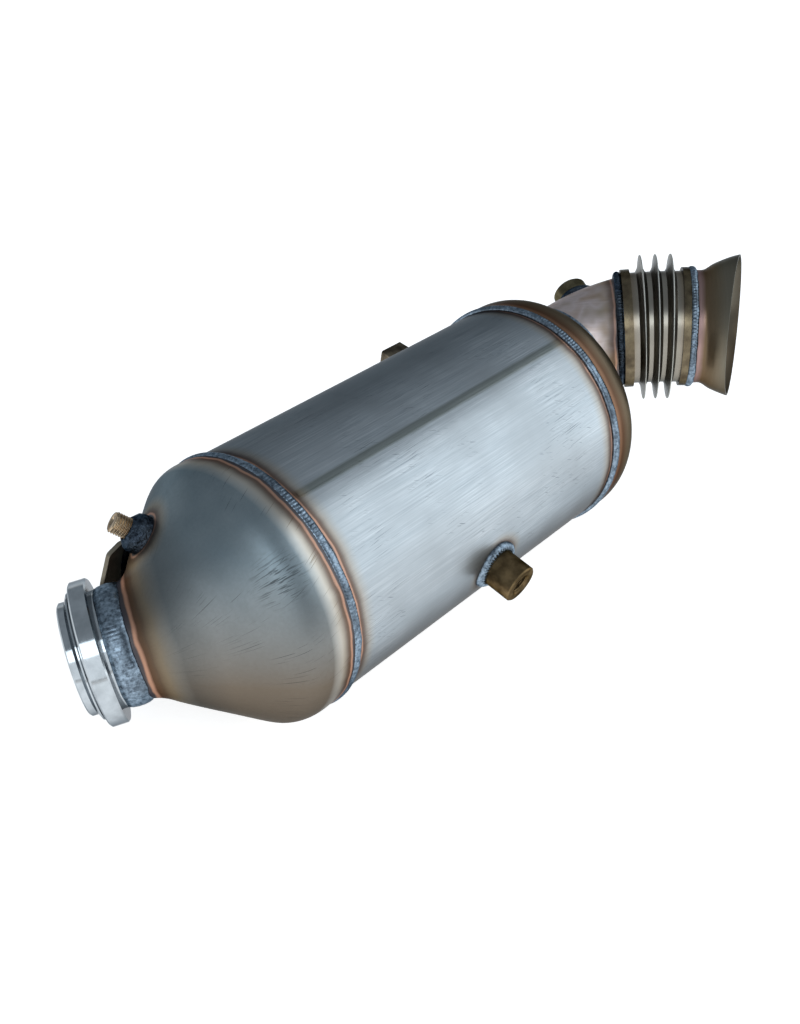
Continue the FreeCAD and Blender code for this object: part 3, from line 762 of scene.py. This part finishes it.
# %% [markdown]
# The two lap joints of the can are welded all the way round. Their beads are low and even,
# because the can turns under the torch at a steady speed.

# %% Beads on the two lap joints
GIRTH_BEAD_RADIUS = CAN_RADIUS + 0.4
for name, place in (("front_girth", CAN_FRONT), ("rear_girth", CAN_FRONT + CAN_AXIS * WELD_SPAN)):
    bead(name + "_bead", name + "_weld", ring_stations(place, CAN_AXIS, GIRTH_BEAD_RADIUS, 1400),
         half_width=3.1, height=1.9, pitch=2.1, material=WELD_METAL, relief=0.16)

# %% [markdown]
# The neck's bead is the widest, since it fills the step behind the flange, and its ripples are
# the faintest. The bellows' two beads are taller than the can's and have deeper ripples. Each
# stands a little outside the bellows' own end.

# %% Beads on the neck and the bellows
NECK_BEAD_ALONG = 17.8
FRONT_BEAD_ALONG = -2.3
REAR_BEAD_ALONG = 2.2
bead("neck_bead", "inlet_flange_weld",
     ring_stations(NECK_AXIS * NECK_BEAD_ALONG, NECK_AXIS, 31.9, 640),
     half_width=6.9, height=2.0, pitch=2.2, material=WELD_METAL, relief=0.07)
bead("bellows_front_bead", "bellows_front_weld",
     ring_stations(BELLOWS_START + BELLOWS_OUT * FRONT_BEAD_ALONG, BELLOWS_OUT, 36.4, 700),
     half_width=2.6, height=2.9, pitch=2.1, material=DARK_WELD, relief=0.25)
bead("bellows_rear_bead", "bellows_rear_weld",
     ring_stations(BELLOWS_END + BELLOWS_LAST * REAR_BEAD_ALONG, BELLOWS_LAST, 38.3, 700),
     half_width=2.9, height=2.7, pitch=2.1, material=WELD_METAL, relief=0.25)

# %% [markdown]
# The bead round the sensor boss rides up and down on the round can. Each station is dropped
# along the boss's axis until it meets the can, so the bead follows the saddle curve.

# %% The bead round the sensor boss
SADDLE_RADIUS = CAN_RADIUS + 0.3


def saddle_stations(radius, count):
    """Stations on the curve where a tube round the boss's axis meets the can."""
    pair = (CAN_AXIS, CAN_AXIS.cross(BOSS_AXIS))
    stations = []
    for i in range(count):
        turn = 2 * math.pi * i / count
        arm = spoke(pair, turn)
        sag = SADDLE_RADIUS - math.sqrt(SADDLE_RADIUS ** 2 - (radius * math.sin(turn)) ** 2)
        place = BOSS_FOOT + arm * radius - BOSS_AXIS * sag
        normal = Vector((0, place.y - CAN_FRONT.y, place.z - CAN_FRONT.z)).normalized()
        out = (normal - arm * 0.35).normalized()
        across = (arm - out * arm.dot(out)).normalized()
        stations.append((place, across, out))
    return stations


bead("boss_bead", "can_sensor_boss_weld", saddle_stations(BOSS_RADIUS + 1.3, 330),
     half_width=3.0, height=3.7, pitch=1.9, material=WELD_METAL, relief=0.3, section=16)

# %% [markdown]
# ## Threads
# The pressure tap has an outside thread and the sensor boss an inside one. A thread is a
# cylinder whose radius rises and falls as it winds: the height along the axis, less the pitch
# for each turn, says where in the thread's profile a point is.

# %% The tap's thread
THREAD_PITCH = 1.5
ROWS_A_TURN = 12
TAP_FACETS = 64
TAP_THREAD_DEPTH = 0.85
TAP_TIP_LENGTH = 0.8
TAP_TIP_DEPTH = 0.7


def thread_profile(phase):
    """The flat-topped V of a metric thread, from 0 at the root to 1 at the crest."""
    share = abs(2 * (phase - math.floor(phase)) - 1)
    return min(max((share - 0.15) / 0.7, 0.0), 1.0)


def threaded_rod(name, node, origin, axis, start, end, outside, bore, material):
    """A rod with an outside thread, a hole right through and a chamfered tip."""
    pair = level_pair(axis)
    spokes = [spoke(pair, 2 * math.pi * i / TAP_FACETS) for i in range(TAP_FACETS)]
    steps = int((end - start) / THREAD_PITCH * ROWS_A_TURN)
    rows = []
    for k in range(steps + 1):
        along = start + (end - start) * k / steps
        fade = min((end - along) / THREAD_PITCH, (along - start) / THREAD_PITCH, 1.0)
        tip = TAP_TIP_DEPTH * max(0.0, 1 - (end - along) / TAP_TIP_LENGTH)
        row = []
        for i, out in enumerate(spokes):
            groove = 1 - thread_profile(along / THREAD_PITCH - i / TAP_FACETS)
            radius = outside - TAP_THREAD_DEPTH * groove * max(fade, 0.2) - tip
            row.append(origin + axis * along + out * radius)
        rows.append(row)
    for along in (end, start):
        rows.append([origin + axis * along + out * bore for out in spokes])
    return woven(name, rows, material, node, True, True)


threaded_rod("tap_threaded_stem", "pressure_tap", TAP_FOOT, TAP_AXIS, start=-6.0, end=14.8,
             outside=6.0, bore=2.5, material=TAP_STEEL)

# %% [markdown]
# The thread inside the boss is a thin sleeve against its bore. Only its inner side shows, so
# it is one surface that winds from the chamfer at the mouth to well inside the boss.

# %% The boss's inner thread
BORE_FACETS = 72
BORE_THREAD_DEPTH = 0.7


def bore_thread(name, origin, axis, start, end, radius, material):
    """An inside thread, as one open surface."""
    pair = level_pair(axis)
    spokes = [spoke(pair, 2 * math.pi * i / BORE_FACETS) for i in range(BORE_FACETS)]
    steps = int((end - start) / THREAD_PITCH * ROWS_A_TURN)
    rows = []
    for k in range(steps + 1):
        along = start + (end - start) * k / steps
        row = []
        for i, out in enumerate(spokes):
            crest = thread_profile(along / THREAD_PITCH - i / BORE_FACETS)
            row.append(origin + axis * along + out * (radius - BORE_THREAD_DEPTH * crest))
        rows.append(row)
    return woven(name, rows, material, None, False, True)


bore_thread("boss_inner_thread", BOSS_FOOT, BOSS_AXIS, start=2.0, end=BOSS_REACH - 1.0,
            radius=6.2, material=BOSS_STEEL)

# %% [markdown]
# ## Bellows folds
# The CAD bellows has plainer folds. The real ones are smooth: steep flanks, a round tip and a
# round valley. Here the outline is sampled finely with a smooth fold shape, and carried round
# the bellows' own bent centre line.

# %% Smooth folds
FOLD_HALF_WIDTH = 3.1
FOLD_ROWS = 420
FOLD_FACETS = 128
TIP_SHARE = 0.86
TIP_HALF_WIDTH = 0.45
TIP_ROUNDING = 0.035


def fold_radius(along):
    """The wall's radius at a distance along the bellows."""
    crests = [FIRST_CREST + k * CREST_SPACING for k in range(CREST_COUNT)]
    nearest = min(abs(along - crest) for crest in crests)
    if nearest > FOLD_HALF_WIDTH:
        return BELLOWS_RADIUS
    share = min((1 - nearest / FOLD_HALF_WIDTH) / TIP_SHARE, 1.0)
    rise = 1 - (1 - share) ** 0.42
    tip = 1 - TIP_ROUNDING * min(nearest / TIP_HALF_WIDTH, 1.0) ** 2
    return BELLOWS_RADIUS + (CREST_RADIUS - BELLOWS_RADIUS) * rise * tip


def fold_rows():
    rows = []
    for k in range(FOLD_ROWS + 1):
        along = BELLOWS_LENGTH * k / FOLD_ROWS
        place, out = bellows_at(along)
        pair = level_pair(out)
        radius = fold_radius(along)
        rows.append([place + spoke(pair, 2 * math.pi * i / FOLD_FACETS) * radius
                     for i in range(FOLD_FACETS)])
    return rows


woven("bellows_folds", fold_rows(), BELLOWS_STEEL, "bellows", False, True)

# %% [markdown]
# ## Floor and light
# The floor is plain and pale. To the camera it glows just enough to be white while it keeps
# the object's shadow, and metal mirrors that same glow. It adds no light of its own to the
# dull surfaces.

# %% Floor
FLOOR_GLOW = 0.72
FLOOR_RADIUS = 9.0


def floor_finish():
    finish = Finish("pale floor", 0.0, 0.9)
    ray = finish.tree.nodes.new("ShaderNodeLightPath")
    seen = finish.math("MAXIMUM", finish.math("MAXIMUM", ray.outputs["Is Camera Ray"],
                                              ray.outputs["Is Glossy Ray"]),
                       ray.outputs["Is Transmission Ray"])
    grain = finish.noise(finish.place, 0.002, 2.0)
    glow = finish.math("MULTIPLY", seen, FLOOR_GLOW)
    finish.feed(finish.shader.inputs["Emission Color"], (1, 1, 1, 1))
    finish.feed(finish.shader.inputs["Emission Strength"], glow)
    return finish.finish(finish.mix(grain, rgb(236, 236, 236), rgb(240, 240, 240)))


bpy.ops.mesh.primitive_circle_add(vertices=96, radius=FLOOR_RADIUS, fill_type="NGON",
                                  location=(0.2, 0.0, FLOOR_Z * MM))
floor = bpy.context.object
floor.name = "studio_floor"
floor.data.materials.append(floor_finish())
print("floor at z = %.4f m" % (FLOOR_Z * MM))

# %% [markdown]
# One large soft lamp stands to the camera's right and above. Its upper edge is what makes the
# can's seam the border between bright and dark. A small one stands where the flange's rim
# mirrors it towards the camera, and a third fills the inlet end. They stay at a plain level,
# so the steel's colours read true.

# %% Lamps
TARGET = Vector((0.22, -0.04, 0.02))
LAMP_DISTANCE = 2.0


def soft_lamp(name, direction, width, height, power, colour, upper):
    """An area lamp that faces the object; the upper hint says where its top edge points."""
    away = Vector(direction).normalized()
    top = Vector(upper)
    top = (top - away * top.dot(away)).normalized()
    side = top.cross(away)
    data = bpy.data.lights.new(name, "AREA")
    data.shape = "RECTANGLE"
    data.size = width
    data.size_y = height
    data.energy = power
    data.color = colour
    lamp = bpy.data.objects.new(name, data)
    bpy.context.collection.objects.link(lamp)
    lamp.matrix_world = Matrix.Translation(TARGET + away * LAMP_DISTANCE) @ Matrix(
        (side, top, away)).transposed().to_4x4()
    return lamp


soft_lamp("main_softbox", (0.62, -0.62, 0.50), width=2.6, height=2.3, power=24.0,
          colour=(0.90, 0.96, 1.0), upper=(0, 0.7, 0.7))
soft_lamp("neck_softbox", (-0.59, -0.36, 0.72), width=0.75, height=0.75, power=4.5,
          colour=(0.86, 0.94, 1.0), upper=NECK_AXIS)
soft_lamp("inlet_softbox", (-0.75, -0.45, 0.40), width=1.6, height=1.5, power=7.0,
          colour=(0.95, 0.98, 1.0), upper=UP)
print("lamps:", len(bpy.data.lights))

# %% [markdown]
# The world is white to the camera, so the background is too. In mirrors it is white only near
# the horizon, and it fades to a dim blue-grey overhead: a studio's ceiling is dark, and steel
# that mirrored white from everywhere would lose its form.

# %% World
HORIZON_TOP = 0.10
WORLD_COLOUR = (0.80, 0.90, 1.0, 1.0)
WORLD_STRENGTH = 0.36


def studio_world():
    """White where the camera sees it and at the horizon, dim overhead."""
    world = bpy.data.worlds.new("studio")
    world.use_nodes = True
    tree = world.node_tree

    def join(operation, a, b):
        node = tree.nodes.new("ShaderNodeMath")
        node.operation = operation
        tree.links.new(a, node.inputs[0])
        tree.links.new(b, node.inputs[1])
        return node.outputs[0]

    ray = tree.nodes.new("ShaderNodeLightPath")
    mirrored = join("MAXIMUM", ray.outputs["Is Glossy Ray"], ray.outputs["Is Transmission Ray"])
    place = tree.nodes.new("ShaderNodeTexCoord")
    parts = tree.nodes.new("ShaderNodeSeparateXYZ")
    tree.links.new(place.outputs["Generated"], parts.inputs[0])
    horizon = tree.nodes.new("ShaderNodeMapRange")
    tree.links.new(parts.outputs["Z"], horizon.inputs["Value"])
    horizon.inputs["From Min"].default_value = HORIZON_TOP
    horizon.inputs["From Max"].default_value = 0.0
    seen = join("MAXIMUM", ray.outputs["Is Camera Ray"],
                join("MULTIPLY", mirrored, horizon.outputs[0]))
    lit = tree.nodes["Background"]
    lit.inputs["Color"].default_value = WORLD_COLOUR
    lit.inputs["Strength"].default_value = WORLD_STRENGTH
    shown = tree.nodes.new("ShaderNodeBackground")
    shown.inputs["Color"].default_value = (1, 1, 1, 1)
    choice = tree.nodes.new("ShaderNodeMixShader")
    tree.links.new(seen, choice.inputs[0])
    tree.links.new(lit.outputs[0], choice.inputs[1])
    tree.links.new(shown.outputs[0], choice.inputs[2])
    tree.links.new(choice.outputs[0], tree.nodes["World Output"].inputs["Surface"])
    return world


bpy.context.scene.world = studio_world()
bpy.context.scene.view_settings.view_transform = "Standard"
print("world strength:", WORLD_STRENGTH)

# %% [markdown]
# ## Camera
# The photograph's camera was worked out from the two round welds and the can's straight edges:
# ovals give the tilt, and their shrinking gives the distance. Its place and axes are written
# straight into the camera's matrix.

# %% Camera
CAMERA_PLACE = Vector((-0.25443, -0.39686, 0.46888))
CAMERA_RIGHT = Vector((0.66117, -0.74628, 0.07695))
CAMERA_UP = Vector((0.42603, 0.45790, 0.78027))
CAMERA_BACK = Vector((-0.61753, -0.48311, 0.62069))
SENSOR_WIDTH = 36.0
LENS = 42.42


def add_camera():
    data = bpy.data.cameras.new("photo_camera")
    data.sensor_width = SENSOR_WIDTH
    data.lens = LENS
    camera = bpy.data.objects.new("photo_camera", data)
    bpy.context.collection.objects.link(camera)
    camera.matrix_world = Matrix.Translation(CAMERA_PLACE) @ Matrix(
        (CAMERA_RIGHT, CAMERA_UP, CAMERA_BACK)).transposed().to_4x4()
    return camera


bpy.context.scene.camera = add_camera()
print("camera at", tuple(round(v, 3) for v in bpy.context.scene.camera.location))
